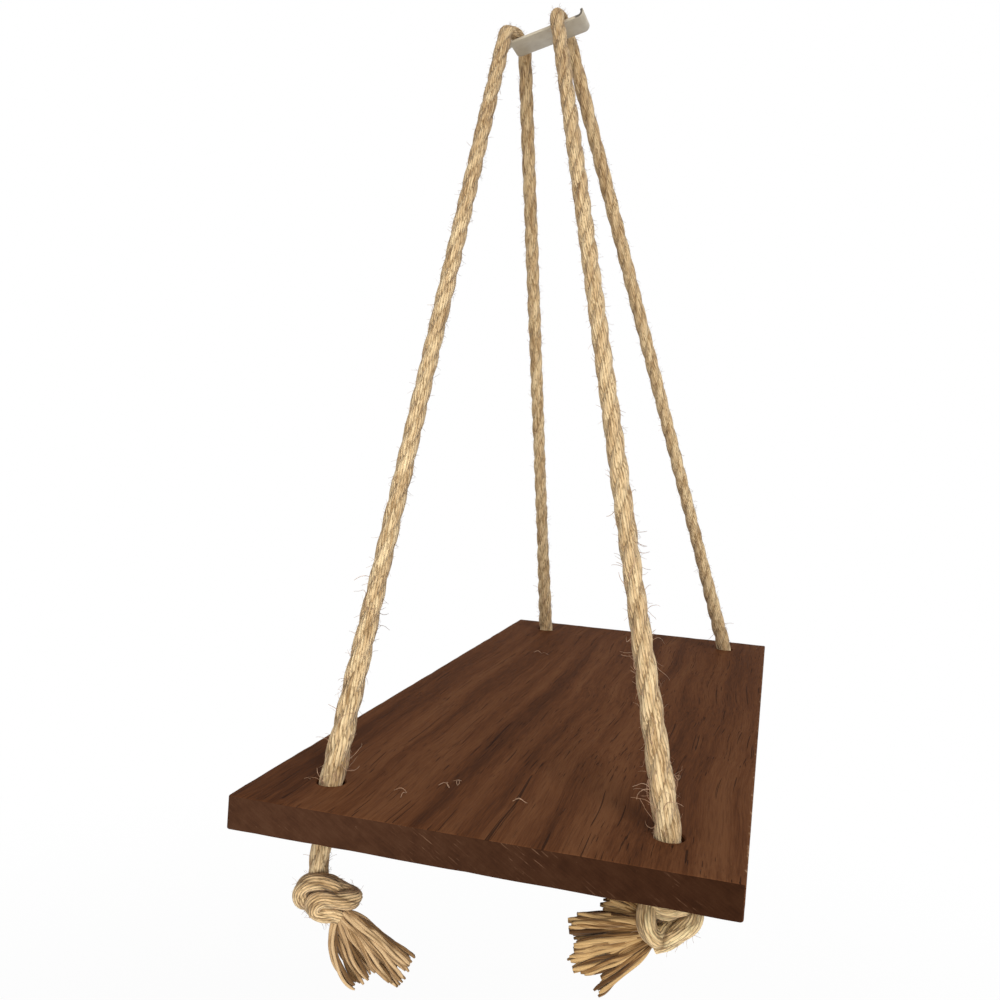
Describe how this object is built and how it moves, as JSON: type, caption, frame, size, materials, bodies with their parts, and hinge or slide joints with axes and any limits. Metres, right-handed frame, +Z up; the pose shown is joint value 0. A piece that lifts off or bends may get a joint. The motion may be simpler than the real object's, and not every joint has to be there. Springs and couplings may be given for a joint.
{
  "type": "hanging rope shelf",
  "caption": "Stained plank slung from a wall hook's arm by two jute ropes that end in knots and frayed tufts under the plank.",
  "frame": {"origin": "centre of the wall end of the hook arm's tab, on the strip's mid-plane", "axes": "+Z up, +Y to the wall, X along the wall and along the plank; near is the -X end"},
  "size_m": [0.425, 0.185, 0.4567],
  "materials": {
    "wood": "dark brown stain, matt, grain along the plank",
    "jute": "three-strand twisted jute, dry and hairy",
    "paint": "off-white paint, satin"
  },
  "bodies": {
    "hook": {"hook_arm": "paint"},
    "shelf": {"board": "wood", "wall_rope": "jute", "front_rope": "jute", "near_wall_knot": "jute", "near_front_knot": "jute", "far_wall_knot": "jute", "far_front_knot": "jute", "near_wall_tuft": "jute", "near_front_tuft": "jute", "far_wall_tuft": "jute", "far_front_tuft": "jute"}
  },
  "joints": [
    {"name": "sway", "type": "hinge", "parent": "hook", "child": "shelf", "pos_m": [0, 0.00023, 0.00071], "axis": [0, -0.9511, 0.309], "range_deg": [-5, 5]}
  ]
}
